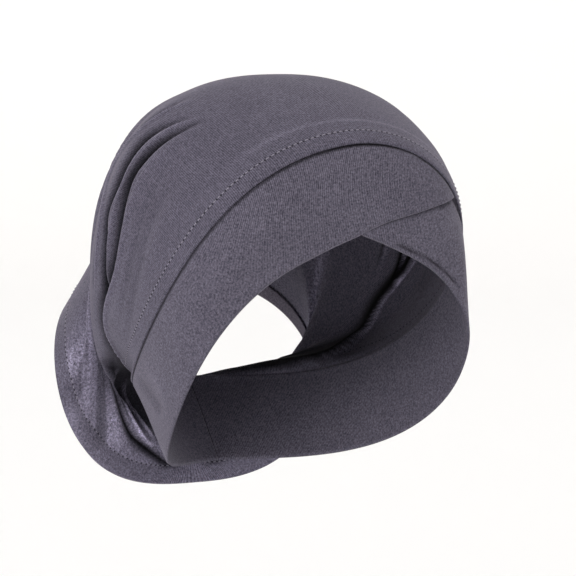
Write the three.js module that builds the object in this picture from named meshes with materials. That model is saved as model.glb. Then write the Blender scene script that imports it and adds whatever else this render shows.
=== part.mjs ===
// Criss-cross underscarf cap of cotton jersey, in its worn form and hollow.
// A tube of single jersey covers the crown and falls behind the head to an open,
// hemmed end. Two doubled bands are sewn to its front edge and cross over the forehead.
// Millimetres, +Z up, the face towards -Y. The origin is where the top of the head bears.
import * as THREE from 'three';

// Driving dimensions
const HEAD_LENGTH = 190; // brow to the back of the head, which all lengths follow
const HEAD_WIDTH = 148; // ear to ear, which all widths follow
const CAP_DROP = 195; // crown to the lowest point of the rear hem
const JERSEY_WALL = 1.0; // single jersey
const BAND_WALL = 2.0; // jersey doubled over its interfold
const SEAM_WALL = 2.0; // crown edge with the seam allowance under it
const SEAM_STRIP = 6.5; // from the seam to past the topstitching
const HEM_WIDTH = 10; // turned-up end of the tube
const FOLD_DEPTH = 10; // deepest of the folds behind the ears
const CLEARANCE = 0.3; // between pieces that are sewn together
const CROSSING_GAP = 0.45; // between the two bands where they cross

// Facets
const AROUND = 72; // round the whole tube and the whole seam
const BAND_ROWS = 5; // across one band
const SLOPE_SHARE = 0.02; // of at, over which a slope across the cap is taken

// Sections of the cap, each an arch that runs from the midline on top, round one side,
// to the midline at the nape. at: -1 bands' lower edge, 0 seam, 1 rear hem.
// Shares of HEAD_LENGTH: napeBack, topBack and bow, which bends the arch towards the ear.
// Shares of CAP_DROP: napeDrop and topDrop. Shares of HEAD_WIDTH: right and left half widths.
// widest: how far up from the nape the arch is widest. round: under 1 is boxy, over 1 is lean.
const SECTIONS = [
  { at: -1.0, napeBack: 0.300, napeDrop: 0.926, topBack: -0.452, topDrop: 0.364,
    right: 0.435, left: 0.461, widest: 0.63, round: 1.13, bow: 0.156 },
  { at: 0.0, napeBack: 0.484, napeDrop: 0.750, topBack: -0.477, topDrop: 0.126,
    right: 0.485, left: 0.447, widest: 0.62, round: 1.09, bow: 0.175 },
  { at: 0.2, napeBack: 0.511, napeDrop: 0.770, topBack: -0.300, topDrop: 0.049,
    right: 0.502, left: 0.517, widest: 0.61, round: 0.96, bow: 0.137 },
  { at: 0.4, napeBack: 0.513, napeDrop: 0.809, topBack: -0.042, topDrop: 0.000,
    right: 0.504, left: 0.486, widest: 0.63, round: 0.85, bow: 0.082 },
  { at: 0.6, napeBack: 0.488, napeDrop: 0.860, topBack: 0.227, topDrop: 0.045,
    right: 0.412, left: 0.409, widest: 0.53, round: 0.83, bow: 0.031 },
  { at: 0.8, napeBack: 0.473, napeDrop: 0.921, topBack: 0.466, topDrop: 0.161,
    right: 0.403, left: 0.403, widest: 0.32, round: 0.97, bow: 0.066 },
  { at: 1.0, napeBack: 0.442, napeDrop: 1.000, topBack: 0.711, topDrop: 0.516,
    right: 0.456, left: 0.456, widest: 0.45, round: 0.70, bow: 0.100 },
];

// Lines along which the tube is creased, from the snug crown to the rear hem. Each crosses
// the arches at its own place at the crown, at the side and near the nape corner, where the
// folds meet. sideDepth and napeDepth are shares of FOLD_DEPTH, a valley being negative.
// from and full: where on the arch the fold starts and where it has its whole depth.
const CREASES = [
  { name: 'snug', crown: 0.150, side: 0.130, nape: 0.080,
    sideDepth: 0.00, napeDepth: 0.00, from: 0.12, full: 0.42 },
  { name: 'snug edge', crown: 0.262, side: 0.252, nape: 0.175,
    sideDepth: 0.10, napeDepth: 0.00, from: 0.12, full: 0.42 },
  { name: 'near valley', crown: 0.300, side: 0.282, nape: 0.255,
    sideDepth: -0.55, napeDepth: -0.80, from: 0.12, full: 0.42 },
  { name: 'near ridge', crown: 0.345, side: 0.314, nape: 0.315,
    sideDepth: 0.26, napeDepth: 0.00, from: 0.12, full: 0.40 },
  { name: 'second valley', crown: 0.400, side: 0.352, nape: 0.375,
    sideDepth: -0.46, napeDepth: -0.45, from: 0.14, full: 0.42 },
  { name: 'second ridge', crown: 0.432, side: 0.392, nape: 0.440,
    sideDepth: 0.30, napeDepth: 0.00, from: 0.10, full: 0.38 },
  { name: 'fine crease', crown: 0.468, side: 0.440, nape: 0.570,
    sideDepth: -0.12, napeDepth: -0.10, from: 0.08, full: 0.30 },
  { name: 'pleat', crown: 0.512, side: 0.490, nape: 0.640,
    sideDepth: 0.24, napeDepth: 0.10, from: 0.08, full: 0.32 },
  { name: 'hidden valley', crown: 0.600, side: 0.560, nape: 0.715,
    sideDepth: -0.36, napeDepth: 0.00, from: 0.16, full: 0.40 },
  { name: 'hidden ridge', crown: 0.660, side: 0.630, nape: 0.765,
    sideDepth: 0.26, napeDepth: 0.00, from: 0.16, full: 0.40 },
  { name: 'rear valley', crown: 0.735, side: 0.705, nape: 0.805,
    sideDepth: -0.30, napeDepth: 0.00, from: 0.18, full: 0.42 },
  { name: 'flare', crown: 0.850, side: 0.840, nape: 0.880,
    sideDepth: 0.04, napeDepth: 0.00, from: 0.18, full: 0.42 },
];
const CREASE_PLACES = [0.25, 0.5, 0.8]; // crown, side and nape along an arch
const CREASE_REACH = [0.18, 0.86]; // past these the creases keep their place
const CREASE_END_SHARES = [0.86, 0.97]; // the folds run out between these, under the nape
const LEAST_SPACING_SHARE = 0.2; // of even spacing, where the creases crowd together at the nape

// Lower edge of a band, from its own side of the nape, over the forehead, to the far temple.
// along: -1 nape, 0 midline of the forehead. at: as in SECTIONS.
const BAND_EDGE = [
  { along: -1.00, at: -1.000 },
  { along: -0.34, at: -1.000 },
  { along: -0.26, at: -0.990 },
  { along: -0.19, at: -0.975 },
  { along: -0.12, at: -0.950 },
  { along: -0.06, at: -0.900 },
  { along: 0.00, at: -0.830 },
  { along: 0.07, at: -0.690 },
  { along: 0.14, at: -0.525 },
  { along: 0.22, at: -0.260 },
  { along: 0.28, at: -0.020 },
];
const BAND_NAPE_SHARE = -0.9985; // the two bands stop this close to each other at the nape
const TUCK_SHARES = [-0.64, -0.44]; // where the left band goes down under the right one
const SEAM_GAP_SHARE = 0.5; // of the clearance, on each side of the seam line

const COLUMNS = Object.keys(SECTIONS[0]).filter((column) => column !== 'at');

function smoothStep(x) {
  const k = Math.min(1, Math.max(0, x));
  return k * k * (3 - 2 * k);
}

// A cubic through the rows of a table, with the slope of its neighbours at each row
function cubicThrough(rows, key, place, column) {
  let i = rows.findIndex((row) => row[key] > place) - 1;
  if (i === -2) i = rows.length - 2;
  i = Math.max(0, i);
  const slope = (k) => {
    const before = rows[Math.max(0, k - 1)];
    const after = rows[Math.min(rows.length - 1, k + 1)];
    return (after[column] - before[column]) / (after[key] - before[key]);
  };
  const span = rows[i + 1][key] - rows[i][key];
  const s = Math.min(1, Math.max(0, (place - rows[i][key]) / span));
  const s2 = s * s;
  const s3 = s2 * s;
  return (2 * s3 - 3 * s2 + 1) * rows[i][column] + (s3 - 2 * s2 + s) * span * slope(i)
    + (3 * s2 - 2 * s3) * rows[i + 1][column] + (s3 - s2) * span * slope(i + 1);
}

// Point of the cap's middle surface. along: -1 nape, 0 midline on top, 1 nape again,
// negative on the wearer's right.
function surfacePoint(at, along) {
  const row = {};
  for (const column of COLUMNS) row[column] = cubicThrough(SECTIONS, 'at', at, column);
  const t = Math.abs(along);
  const q = (1 + Math.cos(Math.PI * t)) / 2;
  const up = q + 4 * (row.widest - 0.5) * q * (1 - q);
  const nape = new THREE.Vector2(row.napeBack * HEAD_LENGTH, -row.napeDrop * CAP_DROP);
  const rise = new THREE.Vector2(row.topBack * HEAD_LENGTH, -row.topDrop * CAP_DROP).sub(nape);
  const bend = row.bow * HEAD_LENGTH * 4 * up * (1 - up) / rise.length();
  const half = (along < 0 ? -row.right : row.left) * HEAD_WIDTH;
  return new THREE.Vector3(
    t === 0 || t === 1 ? 0 : half * Math.sin(Math.PI * t) ** row.round,
    nape.x + rise.x * up - rise.y * bend,
    nape.y + rise.y * up + rise.x * bend + JERSEY_WALL / 2,
  );
}

// Where a crease crosses the arch: a parabola through its three places
function creasePlace(crease, t) {
  const [a, b, c] = CREASE_PLACES;
  const x = Math.min(CREASE_REACH[1], Math.max(CREASE_REACH[0], t));
  return crease.crown * (x - b) * (x - c) / ((a - b) * (a - c))
    + crease.side * (x - a) * (x - c) / ((b - a) * (b - c))
    + crease.nape * (x - a) * (x - b) / ((c - a) * (c - b));
}

function creaseDepth(crease, t) {
  const toNape = smoothStep((t - CREASE_PLACES[1]) / (CREASE_PLACES[2] - CREASE_PLACES[1]));
  const depth = crease.sideDepth + (crease.napeDepth - crease.sideDepth) * toNape;
  const start = smoothStep((t - crease.from) / (crease.full - crease.from));
  const [endFrom, endFull] = CREASE_END_SHARES;
  const end = 1 - smoothStep((t - endFrom) / (endFull - endFrom));
  return depth * start * end * FOLD_DEPTH;
}

// How much of at one millimetre takes up, at the seam or at the rear hem
function shareOfMillimetre(at, along) {
  const step = 2 * SLOPE_SHARE;
  const inner = at > 0.5 ? at - step : at + step;
  return step / surfacePoint(at, along).distanceTo(surfacePoint(inner, along));
}

// Outward normal of the middle surface, the same on both sides of the seam
function surfaceNormal(at, along) {
  const wrap = (place) => (place > 1 ? place - 2 : place < -1 ? place + 2 : place);
  const aside = 1 / AROUND;
  const du = surfacePoint(at, wrap(along + aside)).sub(surfacePoint(at, wrap(along - aside)));
  const rearward = surfacePoint(Math.min(1, at + SLOPE_SHARE), along);
  const dv = rearward.sub(surfacePoint(Math.max(-1, at - SLOPE_SHARE), along));
  return du.cross(dv).normalize();
}

// Outward normals of a closed grid of points [along][across]
function gridNormals(grid) {
  const count = grid.length;
  return grid.map((line, i) => line.map((_, j) => {
    const du = grid[(i + 1) % count][j].clone().sub(grid[(i + count - 1) % count][j]);
    const dv = line[Math.min(line.length - 1, j + 1)].clone().sub(line[Math.max(0, j - 1)]);
    return du.cross(dv).normalize();
  }));
}

// A closed wall from an outer and an inner grid of points
function wallGeometry(outer, inner, closed) {
  const count = outer.length;
  const width = outer[0].length;
  const positions = [];
  for (const grid of [outer, inner]) {
    for (const line of grid) {
      for (const point of line) positions.push(point.x, point.y, point.z);
    }
  }
  const index = [];
  const vertex = (layer, i, j) => layer * count * width + (i % count) * width + j;
  const quad = (a, b, c, d) => index.push(a, b, c, a, c, d);
  const spans = closed ? count : count - 1;
  for (let i = 0; i < spans; i++) {
    for (let j = 0; j < width - 1; j++) {
      quad(vertex(0, i, j), vertex(0, i + 1, j), vertex(0, i + 1, j + 1), vertex(0, i, j + 1));
      quad(vertex(1, i, j), vertex(1, i, j + 1), vertex(1, i + 1, j + 1), vertex(1, i + 1, j));
    }
    quad(vertex(0, i, 0), vertex(1, i, 0), vertex(1, i + 1, 0), vertex(0, i + 1, 0));
    const j = width - 1;
    quad(vertex(0, i, j), vertex(0, i + 1, j), vertex(1, i + 1, j), vertex(1, i, j));
  }
  if (!closed) {
    const i = count - 1;
    for (let j = 0; j < width - 1; j++) {
      quad(vertex(0, 0, j), vertex(0, 0, j + 1), vertex(1, 0, j + 1), vertex(1, 0, j));
      quad(vertex(0, i, j), vertex(1, i, j), vertex(1, i, j + 1), vertex(0, i, j + 1));
    }
  }
  const geometry = new THREE.BufferGeometry();
  geometry.setAttribute('position', new THREE.Float32BufferAttribute(positions, 3));
  geometry.setIndex(index);
  geometry.computeVertexNormals();
  return geometry;
}

function offsetGrid(grid, normals, distance) {
  return grid.map((line, i) => line.map((point, j) => (
    point.clone().addScaledVector(normals[i][j], distance(i, j)))));
}

function jersey(colour) {
  return new THREE.MeshStandardMaterial({ color: colour, roughness: 0.9, metalness: 0 });
}

// Lines of the crown tube at one place round it, each with its place and its relief
function crownLines(along) {
  const t = Math.abs(along);
  const millimetre = shareOfMillimetre(0, along);
  const lines = [
    { at: CLEARANCE * SEAM_GAP_SHARE * millimetre, relief: 0 },
    { at: SEAM_STRIP * millimetre, relief: 0 },
    { at: (SEAM_STRIP + SEAM_WALL / 2) * millimetre, relief: 0 },
  ];
  const firstFold = lines.length;
  const last = 1 - HEM_WIDTH * shareOfMillimetre(1, along);
  let floor = lines[firstFold - 1].at;
  let before = { at: 0, relief: 0 };
  for (const crease of CREASES) {
    const here = { at: creasePlace(crease, t), relief: creaseDepth(crease, t) };
    lines.push({ at: (before.at + here.at) / 2, relief: (before.relief + here.relief) / 2 });
    lines.push(here);
    before = here;
  }
  lines.push({ at: last, relief: 0 });
  lines.push({ at: 1, relief: 0 });
  // Near the nape the strip and the hem are wide beside the tube, so the creases close up
  for (let k = firstFold; k < lines.length - 1; k++) {
    const room = (last - floor) / (lines.length - 1 - k);
    const ceiling = last - (lines.length - 2 - k) * room * LEAST_SPACING_SHARE;
    lines[k].at = Math.min(ceiling, Math.max(floor + room * LEAST_SPACING_SHARE, lines[k].at));
    floor = lines[k].at;
  }
  return lines;
}

// Middle surface of the crown tube with its folds, and its normals
function crownGrid() {
  const places = [];
  for (let i = 0; i < AROUND; i++) places.push(-1 + 2 * i / AROUND);
  const lines = places.map(crownLines);
  const point = (along, line) => surfacePoint(line.at, along)
    .addScaledVector(surfaceNormal(line.at, along), line.relief);
  const grid = places.map((along, i) => lines[i].map((line) => point(along, line)));
  const normals = gridNormals(grid);
  places.forEach((along, i) => normals[i][0].copy(surfaceNormal(0, along)));
  return { grid, normals };
}

function crownTube({ grid, normals }) {
  // The strip, between the first two lines, is thicker by the allowance under it
  const half = (j) => (j < 2 ? SEAM_WALL : JERSEY_WALL) / 2;
  const outer = offsetGrid(grid, normals, (i, j) => half(j));
  const inner = offsetGrid(grid, normals, (i, j) => -half(j));
  const mesh = new THREE.Mesh(wallGeometry(outer, inner, true), jersey(0x5d5a65));
  mesh.name = 'crown_tube';
  return mesh;
}

// The end of the tube is turned in and up, and lies inside it
function rearHem({ grid, normals }) {
  const end = grid.map((line) => line.slice(-2));
  const endNormals = normals.map((line) => line.slice(-2));
  const outer = offsetGrid(end, endNormals, () => -JERSEY_WALL / 2 - CLEARANCE);
  const inner = offsetGrid(end, endNormals, () => -JERSEY_WALL * 1.5 - CLEARANCE);
  const mesh = new THREE.Mesh(wallGeometry(outer, inner, true), jersey(0x605a63));
  mesh.name = 'rear_hem';
  return mesh;
}

// side: -1 for the wearer's right. under: how far the band lies under the other one.
function frontBand(name, side, under, colour) {
  const tip = BAND_EDGE[BAND_EDGE.length - 1].along;
  const places = [BAND_NAPE_SHARE];
  for (let k = 1; -1 + 2 * k / AROUND <= tip; k++) places.push(-1 + 2 * k / AROUND);
  if (side > 0) places.reverse();
  const grids = [BAND_WALL / 2, -BAND_WALL / 2].map((half) => places.map((place) => {
    const along = place * -side;
    const tuck = smoothStep((place - TUCK_SHARES[0]) / (TUCK_SHARES[1] - TUCK_SHARES[0]));
    const edge = cubicThrough(BAND_EDGE, 'along', place, 'at');
    const top = -CLEARANCE * SEAM_GAP_SHARE * shareOfMillimetre(0, along);
    const line = [];
    for (let j = 0; j <= BAND_ROWS; j++) {
      const at = edge + (top - edge) * j / BAND_ROWS;
      const normal = surfaceNormal(j === BAND_ROWS ? 0 : at, along);
      line.push(surfacePoint(at, along).addScaledVector(normal, half - under * tuck));
    }
    return line;
  }));
  const mesh = new THREE.Mesh(wallGeometry(grids[0], grids[1], false), jersey(colour));
  mesh.name = name;
  return mesh;
}

const cap = new THREE.Group();
const tube = crownGrid();
cap.add(crownTube(tube));
cap.add(rearHem(tube));
cap.add(frontBand('front_band_right', -1, 0, 0x65626d));
cap.add(frontBand('front_band_left', 1, BAND_WALL + CROSSING_GAP, 0x66636f));

export default cap;
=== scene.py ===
# Criss-cross underscarf cap of cotton jersey, as it sits on a head: a crown tube that falls
# behind the head to an open hem, and two doubled front bands that cross over the forehead.
# Lengths are in millimetres until a mesh is made. The face is towards -Y, up is +Z.
import math

import bpy
import numpy as np
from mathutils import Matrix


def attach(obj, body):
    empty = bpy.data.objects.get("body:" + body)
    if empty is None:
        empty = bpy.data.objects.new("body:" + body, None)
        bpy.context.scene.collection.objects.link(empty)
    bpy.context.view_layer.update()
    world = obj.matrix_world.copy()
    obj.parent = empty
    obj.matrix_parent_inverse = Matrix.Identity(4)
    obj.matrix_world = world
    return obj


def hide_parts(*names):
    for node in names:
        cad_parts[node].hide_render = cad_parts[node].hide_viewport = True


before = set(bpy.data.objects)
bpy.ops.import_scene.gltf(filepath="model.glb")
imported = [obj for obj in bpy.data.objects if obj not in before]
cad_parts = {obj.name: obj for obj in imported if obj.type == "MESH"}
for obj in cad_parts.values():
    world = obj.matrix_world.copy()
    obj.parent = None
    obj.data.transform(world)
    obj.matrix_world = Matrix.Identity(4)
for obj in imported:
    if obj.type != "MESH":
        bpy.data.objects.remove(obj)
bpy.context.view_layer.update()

# Crown tube
# One layer of dark grey cotton jersey, snug over the head and loose behind the ears, where
# it folds. It is cut as a tube and sewn to the bands, its seam allowance topstitched down.
MM = 0.001
HEAD_LENGTH = 190.0
HEAD_WIDTH = 148.0
CAP_DROP = 195.0  # from the top down to the hem's lowest point
JERSEY = 0.8  # wall of one layer
SOLID_WALL = 1.0  # wall of the plain solids, whose middle this surface follows
SEAM_GAP = 0.2  # between the seam and the crown's edge
ALLOWANCE = 11.0  # depth of the seam allowance, which shows through over the forehead
ALLOWANCE_RISE = 0.35
TOP_RISE = 1.7
HEM_WIDTH = 10.0
STITCH_LINE = 6.0  # up from the seam
HEM_STITCH_LINE = 10.3  # up from the hem's edge
STITCH_PITCH = 2.6
AROUND = 290  # columns of the mesh
MIDDLE = 140  # lines of the mesh between those by the seam and those by the hem

# The middle surface at seven places from the bands' edge to the hem, as shares of the head's
# length and width and of the cap's drop
# at, nape_back, nape_drop, top_back, top_drop, right, left, widest, round, bow
SECTIONS = np.array([
    (-1.0, 0.300, 0.926, -0.452, 0.364, 0.435, 0.461, 0.63, 1.13, 0.156),
    (0.0, 0.484, 0.750, -0.477, 0.126, 0.485, 0.447, 0.62, 1.09, 0.175),
    (0.2, 0.511, 0.770, -0.300, 0.049, 0.502, 0.517, 0.61, 0.96, 0.137),
    (0.4, 0.513, 0.809, -0.042, 0.000, 0.504, 0.486, 0.63, 0.85, 0.082),
    (0.6, 0.488, 0.860, 0.227, 0.045, 0.412, 0.409, 0.53, 0.83, 0.031),
    (0.8, 0.473, 0.921, 0.466, 0.161, 0.403, 0.403, 0.32, 0.97, 0.066),
    (1.0, 0.442, 1.000, 0.711, 0.516, 0.456, 0.456, 0.45, 0.70, 0.100),
])

# Folds of the tube, each along a line over the side of the head. at: 0 seam, 1 hem. t: 0 midline
# on top, 0.5 ear, 1 nape. height in millimetres over the surface. before, behind: how far the
# fold spreads to either side of its line. under: how far its foot runs in under the side before
# it. shade: painted shade, the share of light that it takes from the cloth's colour, less than 0
# for a painted highlight on a lit edge.
# name, sharpness, painted highlight on the edge that stands over a valley,
# rows of (at, t, height, before, behind, under, shade)
FOLDS = [
    ("near valley", 1.3, 0.6, [
        (0.270, 0.200, 0, 1.4, 1.6, 0, 0), (0.285, 0.237, -0.8, 1.2, 1.8, 0.2, 0.4),
        (0.306, 0.291, -1.8, 0.9, 2.2, 0.4, 0.8), (0.318, 0.335, -2.8, 0.8, 2.6, 0.7, 0.96),
        (0.326, 0.383, -3.4, 0.8, 2.9, 0.9, 0.97), (0.312, 0.435, -3.6, 0.8, 2.9, 0.9, 0.97),
        (0.296, 0.470, -3.6, 0.8, 2.8, 0.9, 0.97), (0.277, 0.515, -3.8, 0.8, 2.8, 0.9, 0.97),
        (0.279, 0.560, -4, 0.8, 2.8, 0.9, 0.97), (0.292, 0.605, -4.6, 0.9, 3.2, 1, 0.97),
        (0.274, 0.643, -5, 1, 4.4, 1, 0.96), (0.205, 0.678, -5, 1.2, 6, 1, 0.96),
        (0.140, 0.703, -5, 1.4, 7.5, 0.8, 0.94), (0.075, 0.745, -4, 1.5, 8, 0.6, 0.88),
        (0.060, 0.860, -2.4, 1.5, 6, 0.3, 0.6), (0.060, 0.960, 0, 1.5, 5, 0, 0.3)]),
    ("second valley", 1.3, 1.5, [
        (0.295, 0.200, 0, 1.2, 1.4, 0, 0), (0.306, 0.227, -0.6, 1, 1.4, 0.1, 0.2),
        (0.337, 0.275, -1.3, 0.8, 2.2, 0.3, 0.55), (0.356, 0.316, -2.4, 0.8, 3.2, 0.5, 0.9),
        (0.366, 0.365, -3.2, 0.7, 3.8, 0.7, 0.96), (0.366, 0.415, -3.4, 0.7, 3, 0.8, 0.97),
        (0.371, 0.466, -3.2, 0.7, 2.4, 0.8, 0.97), (0.345, 0.504, -3.4, 0.7, 2.5, 0.8, 0.97),
        (0.328, 0.537, -3.8, 0.7, 2.8, 0.8, 0.97), (0.306, 0.570, -3, 0.7, 2.8, 0.4, 0.9),
        (0.296, 0.600, 0, 0.8, 2.4, 0, 0.4)]),
    ("rim valley", 1.3, 1.2, [
        (0.368, 0.182, 0, 0.8, 1.2, 0, 0), (0.385, 0.224, -0.7, 0.8, 1.6, 0.1, 0.3),
        (0.412, 0.277, -1.6, 0.7, 2.2, 0.3, 0.7), (0.450, 0.325, -2.6, 0.6, 4.6, 0.5, 0.95),
        (0.477, 0.360, -3, 0.6, 5.4, 0.5, 0.97), (0.470, 0.410, -2.8, 0.6, 4.8, 0.4, 0.95),
        (0.440, 0.450, -2.2, 0.7, 3.6, 0.3, 0.88), (0.413, 0.503, -1.6, 0.8, 2, 0.2, 0.6),
        (0.393, 0.554, -1, 0.8, 1.8, 0, 0.4), (0.375, 0.603, 0, 0.8, 1.5, 0, 0)]),
    ("snug edge", 2.0, 0, [
        (0.250, 0.230, 0.0, 3.0, 0.8, 0, 0.00), (0.296, 0.320, 0.5, 3.0, 0.8, 0, -0.10),
        (0.296, 0.420, 0.8, 3.0, 0.8, 0, -0.15), (0.262, 0.520, 1.0, 2.5, 0.8, 0, -0.30),
        (0.274, 0.605, 1.2, 1.6, 0.8, 0, -0.50), (0.254, 0.645, 1.2, 1.6, 0.8, 0, -0.50),
        (0.190, 0.672, 1.2, 1.6, 0.8, 0, -0.50), (0.105, 0.692, 0.8, 1.6, 0.8, 0, -0.40),
        (0.050, 0.720, 0.0, 1.6, 0.8, 0, 0.00)]),
    ("near ridge", 2.0, 0, [
        (0.300, 0.205, 0, 1.8, 0.7, 0, 0), (0.322, 0.270, 0.7, 1.8, 0.7, 0, -0.25),
        (0.336, 0.325, 1.1, 1.8, 0.7, 0, -0.35), (0.342, 0.385, 1.3, 1.8, 0.7, 0, -0.35),
        (0.341, 0.445, 1.3, 1.8, 0.7, 0, -0.25), (0.330, 0.495, 1, 1.8, 0.7, 0, -0.2),
        (0.312, 0.530, 0.6, 1.8, 0.7, 0, -0.1), (0.300, 0.560, 0, 1.8, 0.7, 0, 0)]),
    ("second ridge", 2.0, 0, [
        (0.345, 0.170, 0, 1.4, 0.6, 0, 0), (0.372, 0.224, 0.7, 1.4, 0.6, 0, -0.4),
        (0.398, 0.277, 1, 1.6, 0.6, 0, -0.5), (0.436, 0.325, 1.2, 1.8, 0.6, 0, -0.6),
        (0.463, 0.360, 1.2, 2, 0.6, 0, -0.6), (0.456, 0.410, 1.2, 1.8, 0.6, 0, -0.5),
        (0.426, 0.450, 1.2, 1.8, 0.6, 0, -0.45), (0.401, 0.503, 1, 1.8, 0.6, 0, -0.4),
        (0.384, 0.554, 0.8, 1.8, 0.6, 0, -0.3), (0.366, 0.610, 0, 1.8, 0.6, 0, 0)]),
    ("rim roll", 2.0, 0, [
        (0.440, 0.170, 0, 3, 6, 0, 0), (0.490, 0.240, 1.4, 3, 7, 0, -0.15),
        (0.530, 0.310, 2.2, 3, 8, 0, -0.2), (0.545, 0.370, 2.4, 3, 8, 0, -0.2),
        (0.525, 0.430, 2.2, 3, 8, 0, -0.2), (0.495, 0.500, 1.4, 3, 7, 0, -0.1),
        (0.470, 0.600, 0, 3, 6, 0, 0)]),
    ("rim crest", 2.0, 0, [
        (0.600, 0.500, 0.0, 3.0, 0.8, 0, 0.00), (0.630, 0.550, 1.2, 3.0, 0.8, 0, -0.50),
        (0.620, 0.600, 1.6, 3.0, 0.8, 0, -0.60), (0.620, 0.640, 1.2, 3.0, 0.8, 0, -0.40),
        (0.640, 0.680, 0.0, 3.0, 0.8, 0, 0.00)]),
    ("hidden valley", 1.7, 0, [
        (0.600, 0.120, 0.0, 8, 8, 0, 0), (0.620, 0.300, -3.0, 8, 8, 0, 0.1),
        (0.620, 0.450, -3.0, 8, 8, 0, 0.1), (0.640, 0.520, 0.0, 7, 7, 0, 0)]),
    ("rear valley", 1.7, 0, [
        (0.760, 0.140, 0.0, 8, 8, 0, 0), (0.770, 0.320, -2.6, 8, 8, 0, 0.1),
        (0.790, 0.500, -2.0, 8, 8, 0, 0.1), (0.860, 0.600, 0.0, 6, 6, 0, 0)]),
    ("soft streak", 2.0, 0, [
        (0.200, 0.300, 0.0, 4, 5, 0, 0), (0.205, 0.400, -0.8, 4, 5, 0, 0.10),
        (0.150, 0.520, -0.8, 4, 5, 0, 0.10), (0.080, 0.660, 0.0, 4, 4, 0, 0)]),
    ("soft streak behind", 2.0, 0, [
        (0.240, 0.300, 0.0, 3, 3, 0, 0), (0.245, 0.400, -0.6, 3, 3, 0, 0.08),
        (0.205, 0.500, -0.7, 3, 3, 0, 0.10), (0.150, 0.640, 0.0, 3, 3, 0, 0)]),
    ("dark side of the nape's hollow", 1.4, 0, [
        (0.420, 0.760, 0, 2.6, 3.2, 0, 0.3), (0.600, 0.795, -2, 3.4, 3.4, 0, 0.8),
        (0.673, 0.812, -2.6, 3.4, 3, 0, 0.9), (0.738, 0.834, -2.6, 3.2, 2.8, 0, 0.92),
        (0.780, 0.870, -2.4, 3, 2.6, 0, 0.92), (0.825, 0.905, -2.4, 2.6, 2.4, 0, 0.9),
        (0.873, 0.941, -1.8, 2.2, 2.2, 0, 0.8), (0.900, 0.975, 0, 2, 2, 0, 0.3)]),
    ("first nape wrinkle", 1.5, 0, [
        (0.260, 0.800, 0, 1.5, 1.5, 0, 0), (0.400, 0.830, 2.2, 1.4, 1.4, 0, -1.6),
        (0.573, 0.840, 2.6, 1.3, 1.3, 0, -2.4), (0.627, 0.845, 2.4, 1.2, 1.2, 0, -2.4),
        (0.689, 0.860, 2.2, 1.1, 1.1, 0, -2), (0.747, 0.880, 1.8, 1, 1, 0, -1.4),
        (0.780, 0.905, 0, 1, 1, 0, 0)]),
    ("second nape wrinkle", 1.5, 0, [
        (0.260, 0.866, 0, 1.4, 1.4, 0, 0), (0.400, 0.880, 2.4, 1.3, 1.3, 0, -1.6),
        (0.540, 0.883, 3, 1.2, 1.2, 0, -2.6), (0.652, 0.896, 2.6, 1.1, 1.1, 0, -2.4),
        (0.730, 0.907, 0, 1, 1, 0, 0)]),
    ("pleat", 6.0, 0, [
        (0.540, 0.655, 0, 5, 5, 0, 0), (0.600, 0.690, 0.6, 5.5, 5.5, 0, 0.14),
        (0.700, 0.694, 0.7, 5.5, 5.5, 0, 0.16), (0.760, 0.697, 0.7, 5, 5, 0, 0.16),
        (0.850, 0.711, 0.4, 3.6, 3.6, 0, 0.12), (0.880, 0.716, 0, 3, 3, 0, 0)]),
]

# Hollow at the nape's corner, where the slack is drawn in under the band
HOLLOW = np.array([
    # t, how far across the tube, how deep
    (0.62, 0.24, 0.0), (0.68, 0.28, 1.6), (0.74, 0.38, 3.2), (0.79, 0.50, 4.2), (0.83, 0.66, 4.6),
    (0.87, 0.78, 4.4), (0.91, 0.83, 4.0), (0.95, 0.88, 3.0), (1.00, 0.92, 2.0),
])


def smooth_rise(x, start, length):
    """0 up to start, 1 from start + length on, and a smooth slope in between."""
    k = np.clip((x - start) / length, 0, 1)
    return k * k * (3 - 2 * k)


def smooth_fall(x, start, length):
    return 1 - smooth_rise(x, start, length)


def bell(x, centre, width):
    return np.exp(-((x - centre) / width) ** 2)


def through(table, place):
    """A cubic through the rows of a table whose first column is the place."""
    key = table[:, 0]
    rows = np.arange(len(key))
    before, after = np.maximum(rows - 1, 0), np.minimum(rows + 1, len(key) - 1)
    slope = (table[after] - table[before]) / (key[after] - key[before])[:, None]
    i = np.clip(np.searchsorted(key, place, side="right") - 1, 0, len(key) - 2)
    span = (key[i + 1] - key[i])[..., None]
    s = np.clip((place - key[i])[..., None] / span, 0, 1)
    return (
        (2 * s**3 - 3 * s**2 + 1) * table[i] + (s**3 - 2 * s**2 + s) * span * slope[i]
        + (3 * s**2 - 2 * s**3) * table[i + 1] + (s**3 - s**2) * span * slope[i + 1]
    )


def cap_point(at, along):
    """The cap's middle surface. at: -1 bands' lower edge, 0 seam, 1 hem. along: -1 nape,
    0 midline on top, 1 nape again, negative on the wearer's right."""
    at, along = np.broadcast_arrays(at, along)
    _, nape_back, nape_drop, top_back, top_drop, right, left, widest, lean, bow = np.moveaxis(
        through(SECTIONS, at), -1, 0)
    t = np.clip(np.abs(along), 0, 1)
    q = (1 + np.cos(np.pi * t)) / 2
    up = q + 4 * (widest - 0.5) * q * (1 - q)
    nape_y, nape_z = nape_back * HEAD_LENGTH, -nape_drop * CAP_DROP
    rise_y, rise_z = top_back * HEAD_LENGTH - nape_y, -top_drop * CAP_DROP - nape_z
    bend = bow * HEAD_LENGTH * 4 * up * (1 - up) / np.hypot(rise_y, rise_z)
    half = np.where(along < 0, -right, left) * HEAD_WIDTH
    return np.stack([
        half * np.abs(np.sin(np.pi * t)) ** lean,
        nape_y + rise_y * up - rise_z * bend,
        nape_z + rise_z * up + rise_y * bend + SOLID_WALL / 2,
    ], -1)


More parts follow.
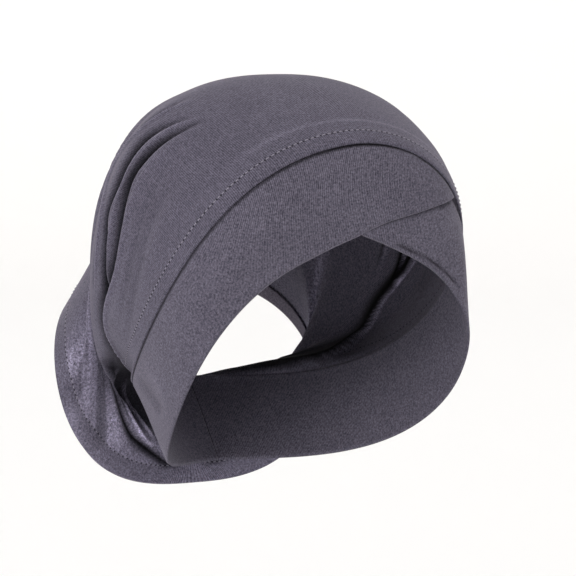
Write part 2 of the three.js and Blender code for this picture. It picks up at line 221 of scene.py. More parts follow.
def cap_normal(at, along, step=0.012):
    def wrap(place):
        return np.where(place > 1, place - 2, np.where(place < -1, place + 2, place))
    at, along = np.broadcast_arrays(at, along)
    du = cap_point(at, wrap(along + step)) - cap_point(at, wrap(along - step))
    dv = cap_point(np.minimum(1, at + step), along) - cap_point(np.maximum(-1, at - step), along)
    n = np.cross(du, dv)
    return n / np.linalg.norm(n, axis=-1, keepdims=True)


def share_of_mm(at, along, step=0.04):
    """How much of at one millimetre takes up, by the seam or by the hem."""
    inner = at + (step if at <= 0.5 else -step)
    gap = cap_point(np.full_like(along, at), along) - cap_point(np.full_like(along, inner), along)
    return step / np.linalg.norm(gap, axis=-1)


# The left side's folds against the right's: how far they wander, and how much shallower they are
LEFT_WANDER = 0.012
LEFT_SHALLOWER = 0.25

# The painted highlight on the edge over a valley, in millimetres from its line, and the limits of
# a fold's painted shade and highlight
EDGE_AWAY = 1.3
EDGE_WIDTH = 0.7
BRIGHTEST = 3.0
DARKEST = 0.97

# The painted shade of the nape's hollow is darkest where it is this deep
HOLLOW_DARK_DEPTH = 4.0
HOLLOW_SHADE = 0.62


def mm_per_unit(at, along, step=0.01):
    """How many millimetres one unit of at takes at each place, and one unit of t."""
    ahead = np.minimum(at + step, 1.0)
    mm_at = np.linalg.norm(cap_point(ahead, along) - cap_point(ahead - step, along), axis=-1) / step
    hand = np.where(along < 0, -1, 1)
    t = np.clip(np.abs(along), step, 1 - step)
    gap = cap_point(at, hand * (t + step)) - cap_point(at, hand * (t - step))
    return mm_at, np.linalg.norm(gap, axis=-1) / (2 * step)


def fold_line(rows):
    """A fold's rows on a smooth curve, with four more between each two."""
    rows = np.array(rows, dtype=float)
    last = len(rows) - 1
    numbered = np.column_stack([np.arange(len(rows)), rows])
    return through(numbered, np.linspace(0, last, 5 * last + 1))[:, 1:]


def nearest_on(line, at, t, mm_at, mm_t):
    """How far each place is from a fold's line in millimetres, and the fold's values there. The
    last of them is the side of the line that the place is on, less than 0 before it."""
    best = np.full(at.shape, np.inf)
    values = np.zeros(at.shape + (line.shape[1] - 1,))
    for p, q in zip(line[:-1], line[1:]):
        px, py = (at - p[0]) * mm_at, (t - p[1]) * mm_t
        qx, qy = (q[0] - p[0]) * mm_at, (q[1] - p[1]) * mm_t
        share = np.clip((px * qx + py * qy) / (qx * qx + qy * qy), 0, 1)
        far = np.hypot(px - share * qx, py - share * qy)
        near = far < best
        best = np.where(near, far, best)
        side = np.sign(px * qy - py * qx)
        mix = p[2:] + share[..., None] * (q[2:] - p[2:])
        values[near] = np.concatenate([mix, side[..., None]], -1)[near]
    return best, np.moveaxis(values, -1, 0)


def nape_hollow(at, t):
    """How deep the hollow at the nape is there, and the share of that depth at each place."""
    reach, depth = np.moveaxis(through(HOLLOW, t), -1, 0)[1:]
    across = at / reach
    share = smooth_rise(across, 0.02, 0.14) * smooth_fall(across, 0.70, 0.30)
    return np.where(t < HOLLOW[0, 0], 0, depth), share


def folds(at, along):
    """Every fold at once: height over the middle surface and drift towards the seam, both in
    millimetres, the painted shade as the share of light that is lost, less than 0 for painted
    highlights, and how much the pleat doubles the cloth."""
    t = np.abs(along)
    left = np.where(along > 0, 1.0, 0.0)
    mm_at, mm_t = mm_per_unit(at, along)
    height, drift, shade = np.zeros_like(at), np.zeros_like(at), np.zeros_like(at)
    for k, (name, sharp, edge, rows) in enumerate(FOLDS):
        # Each fold on the wearer's left wanders and lies down a little otherwise than the right one
        shift = left * LEFT_WANDER * np.sin(5 * t + 1.7 * k)
        away, values = nearest_on(fold_line(rows), at - shift, t, mm_at, mm_t)
        high, before, behind, under, dark, side = values
        high = high * (1 - left * LEFT_SHALLOWER * (1 + math.sin(2.3 * k)) / 2)
        spread = np.exp(-(away / np.where(side < 0, before, behind)) ** sharp)
        height += high * spread
        drift += under * spread ** 2
        # A valley's painted shade climbs its far side, and the painted highlight on a lit edge is narrow
        past = np.where(dark > 0, behind + 0.4 * np.abs(high), 0.8 * behind)
        dim = np.where(side < 0, 0.6 * before, past)
        lost = dark * np.exp(-(away / dim) ** np.where(side < 0, 1.5, max(sharp, 2.2)))
        lost -= edge * dark * bell(away, EDGE_AWAY, EDGE_WIDTH) * (side < 0)
        shade = 1 - (1 - shade) * (1 - np.clip(lost, -BRIGHTEST, DARKEST))
        if name == "pleat":
            doubled = spread
    depth, hollow = nape_hollow(at, t)
    height -= depth * hollow
    # Painted shade in the nape's hollow, darker where it is deeper
    shade = 1 - (1 - shade) * (1 - HOLLOW_SHADE * hollow * np.clip(depth / HOLLOW_DARK_DEPTH, 0, 1))
    return height, drift, shade, doubled


def distance_along(points):
    """How far along its line each point lies. The lines run along the last axis but one."""
    steps = np.linalg.norm(np.diff(points, axis=-2), axis=-1)
    return np.concatenate([np.zeros(steps.shape[:-1] + (1,)), np.cumsum(steps, -1)], -1)


def grid_faces(columns, rows, first=0, turned=False):
    """Four-sided faces between columns of points that are numbered one column after another."""
    faces = []
    for i in range(columns - 1):
        for j in range(rows - 1):
            a = first + i * rows + j
            b, c, d = a + rows, a + rows + 1, a + 1
            faces.append((a, d, c, b) if turned else (a, b, c, d))
    return faces


def uv_grid(run, across):
    """UV pairs in millimetres for a grid: how far round each column is, and how far up a point."""
    return np.stack(np.broadcast_arrays(run[:, None], across), -1).reshape(-1, 2)


def give_uvs(mesh, name, uvs):
    """Adds a UV map from a pair for each point."""
    layer = mesh.uv_layers.new(name=name)
    corners = np.array([loop.vertex_index for loop in mesh.loops])
    layer.data.foreach_set("uv", np.asarray(uvs, dtype=np.float32)[corners].ravel())


def give_values(mesh, name, values):
    """Stores a value for each point, which the material reads."""
    layer = mesh.attributes.new(name, "FLOAT", "POINT")
    layer.data.foreach_set("value", values.astype(np.float32).ravel())


def sheet_mesh(name, points, faces, uvs, material):
    """A piece from points in millimetres, with a UV pair in millimetres for each point."""
    mesh = bpy.data.meshes.new(name)
    mesh.from_pydata((np.asarray(points) * MM).tolist(), [], faces)
    give_uvs(mesh, "cloth_mm", uvs)
    mesh.polygons.foreach_set("use_smooth", [True] * len(mesh.polygons))
    mesh.materials.append(material)
    mesh.update()
    piece = bpy.data.objects.new(name, mesh)
    bpy.context.scene.collection.objects.link(piece)
    return piece


def open_whole(piece):
    """Opens one piece in edit mode with all of it selected."""
    bpy.ops.object.select_all(action="DESELECT")
    piece.select_set(True)
    bpy.context.view_layer.objects.active = piece
    bpy.ops.object.mode_set(mode="EDIT")
    bpy.ops.mesh.select_all(action="SELECT")


def weld(piece):
    """Merges points that lie on each other, where a UV map is cut open or a sheet closes."""
    open_whole(piece)
    bpy.ops.mesh.remove_doubles(threshold=1e-6)
    bpy.ops.object.mode_set(mode="OBJECT")


def face_outward(piece):
    open_whole(piece)
    bpy.ops.mesh.normals_make_consistent(inside=False)
    bpy.ops.object.mode_set(mode="OBJECT")


def give_wall(piece, wall):
    """Makes a sheet thick, half to each side."""
    bpy.context.view_layer.objects.active = piece
    thick = piece.modifiers.new("wall", "SOLIDIFY")
    thick.thickness = wall * MM
    thick.offset = 0.0
    thick.use_even_offset = False
    bpy.ops.object.modifier_apply(modifier="wall")


def node(tree, kind, x, y, settings=(), **links):
    """Adds a node at a place with its settings, and links or sets its inputs. An input goes by
    its label, with _ for a space, or by i and its number. A node stands for its first output."""
    made = tree.nodes.new(kind)
    made.location = (x, y)
    for name, value in dict(settings).items():
        setattr(made, name, value)
    for name, value in links.items():
        numbered = name[0] == "i" and name[1:].isdigit()
        socket = made.inputs[int(name[1:]) if numbered else name.replace("_", " ")]
        if isinstance(value, bpy.types.Node):
            value = value.outputs[0]
        if isinstance(value, bpy.types.NodeSocket):
            tree.links.new(value, socket)
        else:
            socket.default_value = value
    return made


def colour(hexa):
    """An sRGB hex colour as linear RGBA."""
    parts = [int(hexa[i:i + 2], 16) / 255 for i in (1, 3, 5)]
    return [c / 12.92 if c <= 0.04045 else ((c + 0.055) / 1.055) ** 2.4 for c in parts] + [1.0]


# Painted shade in the seams' needle holes, in millimetres: dark up to the first, and out of
# sight from the second
HOLE_CORE = 0.2
HOLE_EDGE = 0.75
HOLE_DARK = 0.85

# Sizes of the cloth's patterns in millimetres. The wales and the heather are coarser than the
# real ones, of about 0.7 and 0.3, so that they show.
WALE = 0.898
HEATHER = 0.909
CLOUD = 16.7
# Mottles of the painted light that comes through one layer:
LIGHT_SPOT = 1.43
WAVE_RATE = 20.0  # how fast a wave texture of scale 1 turns, in radians


def needle_hole_shade(tree, uv_map, line, x, y):
    """Painted shade in the dips where a seam's needle went in, line millimetres up the UV map."""
    uv = node(tree, "ShaderNodeUVMap", x, y, {"uv_map": uv_map})
    parts = node(tree, "ShaderNodeSeparateXYZ", x + 150, y, Vector=uv)
    stitch = node(tree, "ShaderNodeMath", x + 300, y, {"operation": "DIVIDE"},
                  i0=parts.outputs["X"], i1=STITCH_PITCH)
    place = node(tree, "ShaderNodeMath", x + 450, y, {"operation": "FRACT"}, i0=stitch)
    centred = node(tree, "ShaderNodeMath", x + 600, y, {"operation": "SUBTRACT"}, i0=place, i1=0.5)
    aside = node(tree, "ShaderNodeMath", x + 750, y, {"operation": "MULTIPLY"},
                 i0=centred, i1=STITCH_PITCH)
    above = node(tree, "ShaderNodeMath", x + 750, y - 150, {"operation": "SUBTRACT"},
                 i0=parts.outputs["Y"], i1=line)
    both = node(tree, "ShaderNodeCombineXYZ", x + 900, y, X=aside, Y=above)
    far = node(tree, "ShaderNodeVectorMath", x + 1050, y, {"operation": "LENGTH"}, i0=both)
    return node(tree, "ShaderNodeMapRange", x + 1200, y, {"interpolation_type": "SMOOTHSTEP"},
                Value=far.outputs["Value"], From_Min=HOLE_CORE, From_Max=HOLE_EDGE,
                To_Min=HOLE_DARK, To_Max=0.0)


def jersey(name, dark, light, seams=()):
    """Cotton jersey. To the eye it is matt, with a fine heather of two greys, faint wales and a
    slight bloom of fibre ends where it turns away. The value fold_shade holds painted shade for
    the folds and painted highlights on their edges, and a second value paints in the light that
    comes through a single layer."""
    material = bpy.data.materials.new(name)
    material.use_nodes = True
    tree = material.node_tree
    tree.nodes.clear()
    uv = node(tree, "ShaderNodeUVMap", -1400, 0, {"uv_map": "cloth_mm"})
    place = node(tree, "ShaderNodeTexCoord", -1400, -300).outputs["Object"]
    wales = node(tree, "ShaderNodeTexWave", -1100, 200,
                 {"wave_type": "BANDS", "bands_direction": "X", "wave_profile": "SIN"},
                 Vector=uv, Scale=math.tau / (WAVE_RATE * WALE),
                 Distortion=1.6, Detail=2.0, Detail_Scale=1.5).outputs["Fac"]
    heather = node(tree, "ShaderNodeTexNoise", -1100, -200, Vector=place,
                   Scale=1 / (HEATHER * MM), Detail=3.0, Roughness=0.75)
    cloud = node(tree, "ShaderNodeTexNoise", -1100, -450, Vector=place,
                 Scale=1 / (CLOUD * MM), Detail=3.0, Roughness=0.6)
    mottle = node(tree, "ShaderNodeTexNoise", -1100, -700, Vector=place,
                  Scale=1 / (LIGHT_SPOT * MM), Detail=3.0, Roughness=0.7)
    shade = node(tree, "ShaderNodeAttribute", -1100, -950, {"attribute_name": "fold_shade"})
    painted_backlight = node(tree, "ShaderNodeAttribute", -1100, -1150, {"attribute_name": "painted_backlight"})

    mix = node(tree, "ShaderNodeMath", -850, 0, {"operation": "MULTIPLY"}, i0=wales, i1=0.20)
    mix = node(tree, "ShaderNodeMath", -700, 0, {"operation": "MULTIPLY_ADD"},
               i0=heather, i1=1.05, i2=mix)
    mix = node(tree, "ShaderNodeMath", -550, 0, {"operation": "MULTIPLY_ADD"},
               i0=cloud, i1=0.12, i2=mix)
    ramp = node(tree, "ShaderNodeValToRGB", -400, 0, Fac=mix)
    for stop, position, tint in zip(ramp.color_ramp.elements, (0.50, 0.92), (dark, light)):
        stop.position = position
        stop.color = colour(tint)
    # Painted light where light comes through one layer: the cloth's colour is made about twice as light,
    # in mottles
    glow = node(tree, "ShaderNodeMath", -850, -1000, {"operation": "SUBTRACT"}, i0=mottle, i1=0.27)
    glow = node(tree, "ShaderNodeMath", -700, -1000, {"operation": "MULTIPLY"}, i0=glow, i1=4.6)
    glow = node(tree, "ShaderNodeMath", -550, -1000, {"operation": "MULTIPLY"},
                i0=glow, i1=painted_backlight.outputs["Fac"])
    glow = node(tree, "ShaderNodeMath", -400, -1000, {"operation": "MAXIMUM"}, i0=glow, i1=0.0)
    glow = node(tree, "ShaderNodeMath", -250, -1000, {"operation": "ADD"}, i0=glow, i1=1.0)
    # What the painted shade and the painted light leave of the colour
    kept = node(tree, "ShaderNodeMath", -700, -1200, {"operation": "SUBTRACT"},
                i0=1.0, i1=shade.outputs["Fac"])
    kept = node(tree, "ShaderNodeMath", -100, -1100, {"operation": "MULTIPLY"}, i0=kept, i1=glow)
    # Painted shade in each seam's needle holes
    for n, (uv_map, line) in enumerate(seams):
        hole = needle_hole_shade(tree, uv_map, line, -1800, -1500 - 400 * n)
        around = node(tree, "ShaderNodeMath", -350, -1300 - 200 * n, {"operation": "SUBTRACT"},
                      i0=1.0, i1=hole)
        kept = node(tree, "ShaderNodeMath", -200, -1300 - 200 * n, {"operation": "MULTIPLY"},
                    i0=kept, i1=around)
    tone = node(tree, "ShaderNodeVectorMath", -100, -100, {"operation": "SCALE"},
                Vector=ramp, Scale=kept)
    height = node(tree, "ShaderNodeMath", -450, -300, {"operation": "MULTIPLY_ADD"},
                  i0=heather, i1=0.8, i2=wales)
    bump = node(tree, "ShaderNodeBump", -250, -300, Strength=0.4, Distance=0.0002, Height=height)
    # The bloom is weakened where the painted shade darkens the cloth
    bloom = node(tree, "ShaderNodeMath", -250, -500, {"operation": "MINIMUM"}, i0=kept, i1=1.0)
    bloom = node(tree, "ShaderNodeMath", -100, -500, {"operation": "MULTIPLY"}, i0=bloom, i1=0.26)
    cloth = node(tree, "ShaderNodeBsdfPrincipled", 100, 0, Base_Color=tone, Normal=bump,
                 Roughness=0.95, Specular_IOR_Level=0.1,
                 Sheen_Weight=bloom, Sheen_Roughness=0.4, Sheen_Tint=colour("#d6d0dd"))
    node(tree, "ShaderNodeOutputMaterial", 400, 0, Surface=cloth)
    return material


# Matt dark grey with a purple cast, with painted highlights on the edges of the folds
CROWN_JERSEY = jersey("cotton_jersey_crown", "#36333e", "#706c7b",
                      [("cloth_mm", STITCH_LINE), ("hem_mm", HEM_STITCH_LINE)])

# The columns of the mesh lie closer together by the nape, most of all on the wearer's right
evenly = np.linspace(-1, 1, 2001)
crowd = 1 + 1.3 * bell(evenly, -0.80, 0.13) + 0.3 * bell(evenly, 0.80, 0.13)
crowd = np.concatenate([[0], np.cumsum(crowd[1:] + crowd[:-1])])
along = np.interp(np.arange(AROUND) / AROUND, crowd / crowd[-1], evenly)
by_seam = share_of_mm(0.0, along)
by_hem = share_of_mm(1.0, along)

# Its lines: some at set distances from the seam and from the hem, and the others between them,
# closer together where the folds are
SEAM_LINES = np.array([0.0, 0.5, 1.2, 2.4, 3.8, 5.0, 5.6, STITCH_LINE, 6.4, 7.0, 7.9, 9.0, 9.9, 10.5,
                       ALLOWANCE, 11.5, 12.2])
HEM_LINES = np.array([12.0, 11.0, HEM_STITCH_LINE, 9.8, 9.0, 7.5, 5.5, 3.5, 1.5, 0.5, 0.0])
start = (SEAM_GAP + SEAM_LINES[-1]) * by_seam
stop = 1 - HEM_LINES[0] * by_hem
here = start[:, None] + (stop - start)[:, None] * np.linspace(0, 1, 400)
crowd = np.cumsum(1 + 3.2 * bell(here, 0.37, 0.12), axis=1)
crowd = (crowd - crowd[:, :1]) / (crowd[:, -1:] - crowd[:, :1])
shares = np.arange(1, MIDDLE) / MIDDLE
middle = np.stack([np.interp(shares, c, h) for c, h in zip(crowd, here)])
from_seam = (SEAM_GAP + SEAM_LINES) * by_seam[:, None]
at = np.concatenate([from_seam, middle, 1 - HEM_LINES * by_hem[:, None]], 1)
side = np.broadcast_to(along[:, None], at.shape)
turned = np.abs(side)
from_seam = at / by_seam[:, None]
from_hem = (1 - at) / by_hem[:, None]
stitch_column = int(np.argmin(np.abs(SEAM_LINES - STITCH_LINE)))
hem_column = at.shape[1] - len(HEM_LINES) + int(np.argmin(np.abs(HEM_LINES - HEM_STITCH_LINE)))

relief, drift, shade, doubled = folds(at, side)
# The folds' painted shade is deepened, and their painted highlights stay as they are
shade = np.where(shade > 0, 1 - (1 - np.clip(shade, 0, 1)) ** 1.5, shade)
# Painted light from the white ground below the cap, on the side that is turned down to it
turned_down = smooth_rise(turned, 0.52, 0.16) * smooth_rise(at, 0.60, 0.12)
shade = 1 - (1 - shade) * (1 + 0.65 * turned_down)
# The seam allowance lifts the cloth up to the stitches, and up to its own edge over the forehead
frontal = smooth_rise(side, -0.30, 0.16) * smooth_fall(side, 0.36, 0.12)
relief += ALLOWANCE_RISE * smooth_fall(from_seam, STITCH_LINE, 2.8)
relief += ALLOWANCE_RISE * frontal * smooth_fall(from_seam, ALLOWANCE - 0.5, 1.0)
# Painted highlight along the allowance's edge over the forehead
shade -= 0.35 * frontal * bell(from_seam, ALLOWANCE, 0.6)
relief -= 0.5 * smooth_fall(from_seam, 0, 0.7)
# The crown stands higher over the top of the head, a little less so to either side of the middle
on_top = smooth_rise(from_seam, 8, 25) * smooth_fall(turned, 0.25, 0.3) * smooth_fall(at, 0.6, 0.3)
relief += TOP_RISE * (1 - 0.5 * smooth_rise(turned, 0.02, 0.15)) * on_top
to_hem = cap_point(np.minimum(at + 0.01, 1), side) - cap_point(at - 0.01, side)
to_hem /= np.linalg.norm(to_hem, axis=-1, keepdims=True)
crown_points = cap_point(at, side) + cap_normal(at, side) * relief[..., None] - to_hem * drift[..., None]

# The UV map is cut open at the nape, so the last column of faces has points of its own
ring = np.append(np.arange(AROUND), 0)
run = distance_along(crown_points[ring, stitch_column])
across = distance_along(crown_points)
across += STITCH_LINE - across[:, stitch_column:stitch_column + 1]
crown = sheet_mesh("crown", crown_points[ring].reshape(-1, 3), grid_faces(AROUND + 1, at.shape[1]),
                   uv_grid(run, across[ring]), CROWN_JERSEY)
give_uvs(crown.data, "hem_mm", uv_grid(distance_along(crown_points[ring, hem_column]), from_hem[ring]))
# Painted light that comes through the single layer behind the ears, most of all in three streaks
# that run down to the hem, where the cloth is drawn thinnest
STREAKS = (0.47, 0.60, 0.76)
STREAK_WIDTH = 0.035
streaks = sum(bell(turned, centre, STREAK_WIDTH) for centre in STREAKS)
painted_backlight = smooth_rise(at, 0.56, 0.12) * smooth_rise(turned, 0.34, 0.12)
painted_backlight *= 1 - 0.85 * doubled
painted_backlight *= 0.65 + 0.85 * np.minimum(streaks, 1)
painted_backlight *= 1 - 0.80 * smooth_fall(from_hem, HEM_WIDTH - 0.3, 0.6)
give_values(crown.data, "fold_shade", shade[ring])
give_values(crown.data, "painted_backlight", painted_backlight[ring])
weld(crown)
give_wall(crown, JERSEY)
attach(crown, "root")
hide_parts("crown_tube")

# Topstitching
# A row of lockstitch thread 6 mm over the seam, and one that holds the hem.
THREAD = 0.21  # half the thread's width
THREAD_SIDES = 6
THREAD_SUNK = 0.22  # how much deeper the thread lies in the cloth at the sides than in front

# along the row from the stitch's middle, height over the cloth
STITCH_ARC = ((-0.74, -0.15), (-0.5, 0.12), (0.0, 0.18), (0.5, 0.12), (0.74, -0.15))

# Matt pale grey thread, which shows as a row of light dashes on the darker cloth
sewing_thread = bpy.data.materials.new("matt_cotton_sewing_thread")
sewing_thread.use_nodes = True
shader = sewing_thread.node_tree.nodes["Principled BSDF"]
shader.inputs["Base Color"].default_value = colour("#8b8793")
shader.inputs["Roughness"].default_value = 0.8


def stitch_row(name, column):
    """Short arcs of thread that rise out of one needle hole and go down the next."""
    track = crown_points[ring, column]
    normal = cap_normal(at[:, column], along)[ring]
    turn = np.append(along, 1.0)
    gone = distance_along(track)

    def on_track(where, values):
        return np.array([np.interp(where, gone, part) for part in values.T])

    points, faces = [], []
    for n in range(int(gone[-1] / STITCH_PITCH)):
        first = len(points)
        for place, lift in STITCH_ARC:
            where = (n + 1) * STITCH_PITCH + place
            middle = on_track(where, track)
            rise = on_track(where, normal)
            ahead = on_track(where + 0.5, track) - middle
            sideways = np.cross(ahead, rise)
            sideways /= max(np.linalg.norm(sideways), 1e-9)
            sunk = THREAD_SUNK * float(smooth_rise(abs(np.interp(where, gone, turn)), 0.28, 0.15))
            middle = middle + rise * (JERSEY / 2 + lift - sunk)
            for corner in range(THREAD_SIDES):
                angle = corner * math.tau / THREAD_SIDES
                points.append(middle + THREAD * (sideways * math.cos(angle) + rise * math.sin(angle)))
        for ring_start in range(first, len(points) - THREAD_SIDES, THREAD_SIDES):
            for corner in range(THREAD_SIDES):
                a = ring_start + corner
                b = ring_start + (corner + 1) % THREAD_SIDES
                faces.append((a, b, b + THREAD_SIDES, a + THREAD_SIDES))
        faces.append(tuple(range(first + THREAD_SIDES - 1, first - 1, -1)))
        faces.append(tuple(range(len(points) - THREAD_SIDES, len(points))))
    piece = sheet_mesh(name, points, faces, np.zeros((len(points), 2)), sewing_thread)
    face_outward(piece)
    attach(piece, "root")


stitch_row("seam_topstitching", stitch_column)
stitch_row("hem_stitching", hem_column)

# Rear hem
# The tube's end turned in and up by 10 mm and stitched, a second layer inside the first.
HEM_ROWS = 10
HEM_DEPTH = 1.0  # how far inside the crown's middle surface it lies
HEM_WALL = 0.7

# The same cloth seen from its turned side, a little warmer and as matt
HEM_JERSEY = jersey("cotton_jersey_hem", "#3a353f", "#726b77")

hem_up = np.linspace(0.0, HEM_WIDTH, HEM_ROWS)
hem_at = 1 - hem_up * by_hem[:, None]
hem_side = np.broadcast_to(along[:, None], hem_at.shape)
hem_points = cap_point(hem_at, hem_side) - cap_normal(hem_at, hem_side) * HEM_DEPTH
hem = sheet_mesh("hem", hem_points[ring].reshape(-1, 3), grid_faces(AROUND + 1, HEM_ROWS, turned=True),
                 uv_grid(run, hem_up), HEM_JERSEY)
weld(hem)
give_wall(hem, HEM_WALL)
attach(hem, "root")
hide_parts("rear_hem")

# Front bands
# Each is jersey doubled over, its fold at the lower edge. The right one lies over the left.
BAND_WALL = 1.3
BAND_COLUMNS = 250
BAND_ROWS = 36
BAND_NAPE_END = -0.9985
BAND_CROSSED_END = 0.278
BAND_SPACE = 0.15  # between the two bands where they cross
SEAM_TUCK = 1.4  # how far a band runs in under the crown's edge
TUCK_START = -0.36  # where the left band begins to pass under the right one
TUCK_LENGTH = 0.09
GROOVE_SHADE = 0.34  # half the width of the painted shade in the groove beside the seam
MM_PER_ALONG = 210.0  # about how much of a band one unit of along takes

# Lower edge, along a band's own run: -1 nape, 0 midline on top, 0.28 crossed end
BAND_EDGE = np.array([
    # along, at
    (-1.00, -1.000),
    (-0.34, -1.000),
    (-0.26, -0.990),
    (-0.19, -0.975),
    (-0.12, -0.950),
    (-0.06, -0.900),
    (0.00, -0.830),
    (0.07, -0.690),
    (0.14, -0.525),
    (0.22, -0.260),
    (0.28, -0.020),
])

# Creases and dents in the bands, with painted shade and painted highlights, and the painted
# shadow of the right band's edge on the left band. line: places as (along, at), the band's own
# along. depth and spread in millimetres. dark: the share of light lost to painted shade, less
# than 0 for a painted highlight where the cloth is lit.
BAND_MARKS = [
    # hand (-1 the wearer's right), line, depth, spread, dark
    # Painted shadow of the right band's edge where it lies over the left band
    (1, [(-0.005, -0.83), (-0.075, -0.69), (-0.145, -0.525), (-0.225, -0.26), (-0.285, -0.02)],
     0.0, 1.6, 0.60),
    # A crease near the left band's lower edge, darkened with painted shade
    (1, [(-0.31, -0.85), (-0.25, -0.885), (-0.19, -0.90), (-0.14, -0.90), (-0.09, -0.87)],
     0.8, 0.8, 0.75),
    # A soft dent in the right band with painted shade, and the ridge beside it with a painted highlight
    (-1, [(-0.66, -0.05), (-0.635, -0.30), (-0.61, -0.55), (-0.60, -0.75)], 0.9, 3.0, 0.16),
    (-1, [(-0.60, -0.10), (-0.575, -0.40), (-0.56, -0.70)], -0.6, 3.0, -0.12),
]

# The same cloth, a little lighter than the crown, smooth where it is pulled flat
BAND_JERSEY = jersey("cotton_jersey_band", "#383540", "#736f7d")


def within(x, low, high, ease):
    """1 between low and high, and a smooth slope down to 0 at both of them."""
    return smooth_rise(x, low, ease) * smooth_fall(x, high - ease, ease)


def band_marks(hand, places, at, mm_at):
    """Relief in millimetres and painted shade and light of one band's marks."""
    relief, shade = np.zeros(at.shape), np.zeros(at.shape)
    for mark_hand, line, depth, spread, dark in BAND_MARKS:
        if mark_hand != hand:
            continue
        mark_along, mark_at = np.array(line).T
        if np.ptp(mark_along) > np.ptp(mark_at):
            away = np.abs(at - np.interp(places, mark_along, mark_at)[:, None]) * mm_at[:, None]
            fade = within(places, mark_along[0], mark_along[-1], 0.03)[:, None]
        else:
            upward = np.argsort(mark_at)
            crossing = np.interp(at, mark_at[upward], mark_along[upward])
            away = np.abs(places[:, None] - crossing) * MM_PER_ALONG
            fade = within(at, mark_at.min(), mark_at.max(), 0.15)
        mark = bell(away, 0, spread) * fade
        relief -= depth * mark
        shade += dark * mark
    return relief, shade


def rounded(gone, least=0.0):
    """Share of the wall gone millimetres in from a rounded edge."""
    inward = np.clip(1 - gone / (0.8 * BAND_WALL), 0, 1)
    return np.sqrt(np.clip(1 - inward ** 2, least, 1))


def front_band(name, hand, under):
    """hand: -1 for the wearer's right. under: how far the band lies under the other."""
    places = np.linspace(BAND_NAPE_END, BAND_CROSSED_END, BAND_COLUMNS)
    edge = through(BAND_EDGE, places)[:, 1]
    here = places * -hand
    top = SEAM_TUCK * share_of_mm(0.0, here)
    at = top[:, None] + (edge - top)[:, None] * np.linspace(0, 1, BAND_ROWS)
    side = np.broadcast_to(here[:, None], at.shape)
    middle = cap_point(at, side)
    down = distance_along(middle)
    depth = down[:, -1:]
    relief, shade = band_marks(hand, places, at, depth[:, 0] / np.abs(edge - top))
    # Painted shade in the groove beside the seam
    shade += 0.93 * np.exp(-((down - SEAM_TUCK - 0.12) / GROOVE_SHADE) ** 4)
    tuck = under * smooth_rise(places, TUCK_START, TUCK_LENGTH)
    outward = relief - tuck[:, None] - 0.75 * smooth_fall(down, 0.6, 2.4)
    half = BAND_WALL / 2 * rounded(depth - down) * rounded(down, 0.06)
    normal = cap_normal(at, side)
    outer = middle + normal * (outward + half)[..., None]
    inner = middle + normal * (outward - half)[..., None]
    points = np.concatenate([outer.reshape(-1, 3), inner.reshape(-1, 3)])
    run = distance_along(middle[:, 0])
    uvs = np.tile(uv_grid(run, -down), (2, 1))

    # Outer and inner layer, the strip that joins them along the seam, and the band's two ends
    shift = outer.shape[0] * outer.shape[1]
    faces = grid_faces(BAND_COLUMNS, BAND_ROWS, 0, hand < 0)
    faces += grid_faces(BAND_COLUMNS, BAND_ROWS, shift, hand > 0)
    for i in range(BAND_COLUMNS - 1):
        a, b = i * BAND_ROWS, (i + 1) * BAND_ROWS
        faces.append((a, a + shift, b + shift, b) if hand > 0 else (a, b, b + shift, a + shift))
    for i in (0, BAND_COLUMNS - 1):
        for a in range(i * BAND_ROWS, (i + 1) * BAND_ROWS - 1):
            face = (a, a + 1, a + 1 + shift, a + shift)
            faces.append(face if (i == 0) == (hand > 0) else face[::-1])
    piece = sheet_mesh(name, points, faces, uvs, BAND_JERSEY)
    give_values(piece.data, "fold_shade", np.concatenate([shade, np.zeros_like(shade)]))
    weld(piece)
    face_outward(piece)
    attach(piece, "root")
    return piece


right_band = front_band("right_band", -1, 0.0)
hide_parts("front_band_right")
left_band = front_band("left_band", 1, BAND_WALL + BAND_SPACE)
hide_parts("front_band_left")

# Studio
# A white sweep all round, a camera at the front right of the cap, and wide soft lamps. Lengths
# are in metres here.
FLOOR = -0.42
SWEEP_RADIUS = 3.0
SWEEP_BEND = 1.2
SWEEP_STEPS = 8
SWEEP_WALL = 1.4
TARGET = (0.0085, 0.0, -0.0937)
DISTANCE = 1.3
AZIMUTH = math.radians(-26)
ELEVATION = math.radians(6)
LENS = 180.6

# White paper, matt, so that the ground and the background run into each other
paper = bpy.data.materials.new("white_paper_sweep")
paper.use_nodes = True
shader = paper.node_tree.nodes["Principled BSDF"]
shader.inputs["Base Color"].default_value = colour("#f6f6f6")
shader.inputs["Roughness"].default_value = 0.95

bpy.ops.object.select_all(action="DESELECT")
bpy.ops.mesh.primitive_circle_add(
    vertices=96, radius=SWEEP_RADIUS, fill_type="NGON", location=(0, 0, FLOOR))
sweep = bpy.context.object
sweep.name = "studio_sweep"
bpy.ops.object.mode_set(mode="EDIT")
bpy.ops.mesh.select_all(action="SELECT")
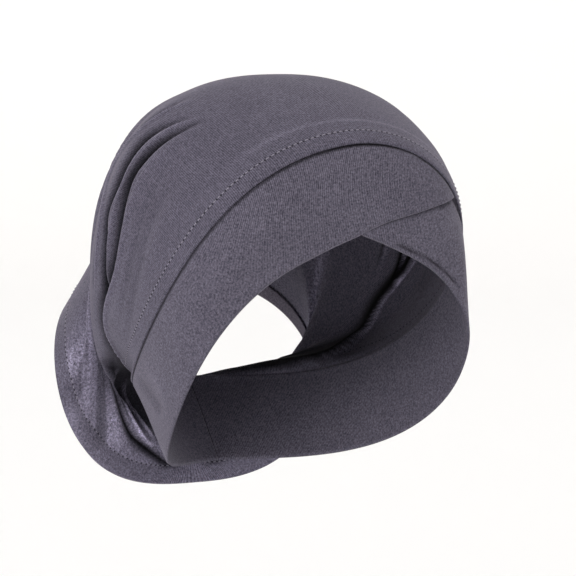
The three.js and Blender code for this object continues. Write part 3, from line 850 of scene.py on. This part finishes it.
# The disc's edge is drawn out and up in steps along a quarter round
quarter = np.linspace(0, math.pi / 2, SWEEP_STEPS + 1)
for before, after in zip(quarter[:-1], quarter[1:]):
    wide = SWEEP_RADIUS + SWEEP_BEND * math.sin(before)
    wider = 1 + SWEEP_BEND * (math.sin(after) - math.sin(before)) / wide
    lift = SWEEP_BEND * (math.cos(before) - math.cos(after))
    bpy.ops.mesh.extrude_region_move(TRANSFORM_OT_translate={"value": (0, 0, lift)})
    bpy.ops.transform.resize(value=(wider, wider, 1), center_override=(0, 0, 0))
bpy.ops.mesh.extrude_region_move(TRANSFORM_OT_translate={"value": (0, 0, SWEEP_WALL)})
# The disc that went up with the last step would be a lid
bpy.ops.mesh.delete(type="ONLY_FACE")
bpy.ops.object.mode_set(mode="OBJECT")
bpy.ops.object.shade_smooth()
sweep.data.materials.append(paper)

camera_data = bpy.data.cameras.new("camera")
camera = bpy.data.objects.new("camera", camera_data)
bpy.context.scene.collection.objects.link(camera)
bpy.context.scene.camera = camera
level = math.cos(ELEVATION)
away = (math.sin(AZIMUTH) * level, -math.cos(AZIMUTH) * level, math.sin(ELEVATION))
camera.location = [c + DISTANCE * a for c, a in zip(TARGET, away)]
camera.rotation_euler = (math.pi / 2 - ELEVATION, 0, AZIMUTH)
camera_data.sensor_width = 36
camera_data.lens = LENS
camera_data.clip_start = 0.05


def soft_sun(name, azimuth, elevation, strength, width, tint):
    """A wide sun, so that the paper behind the cap gets as much light as the cap."""
    data = bpy.data.lights.new(name, "SUN")
    data.energy = strength
    data.angle = math.radians(width)
    data.color = colour(tint)[:3]
    made = bpy.data.objects.new(name, data)
    bpy.context.scene.collection.objects.link(made)
    made.rotation_euler = (math.pi / 2 - math.radians(elevation), 0, math.radians(azimuth))


soft_sun("key", -14, 40, 1.25, 28, "#fffaf5")
soft_sun("rim", 165, 58, 0.55, 40, "#ffffff")
# A softbox low on the wearer's right, inside the sweep, whose wall would hide a low sun
box_light = bpy.data.lights.new("softbox", "AREA")
box_light.shape = "SQUARE"
box_light.size = 0.9
box_light.energy = 6.5
box_light.color = colour("#fbf8ff")[:3]
softbox = bpy.data.objects.new("softbox", box_light)
bpy.context.scene.collection.objects.link(softbox)
softbox.location = (-1.25, -0.10, -0.22)
softbox.rotation_euler = (math.radians(94), 0, math.radians(-94))
world = bpy.data.worlds.new("studio")
bpy.context.scene.world = world
world.use_nodes = True
world.node_tree.nodes["Background"].inputs["Color"].default_value = colour("#ffffff")
world.node_tree.nodes["Background"].inputs["Strength"].default_value = 0.60
bpy.context.scene.view_settings.view_transform = "Standard"
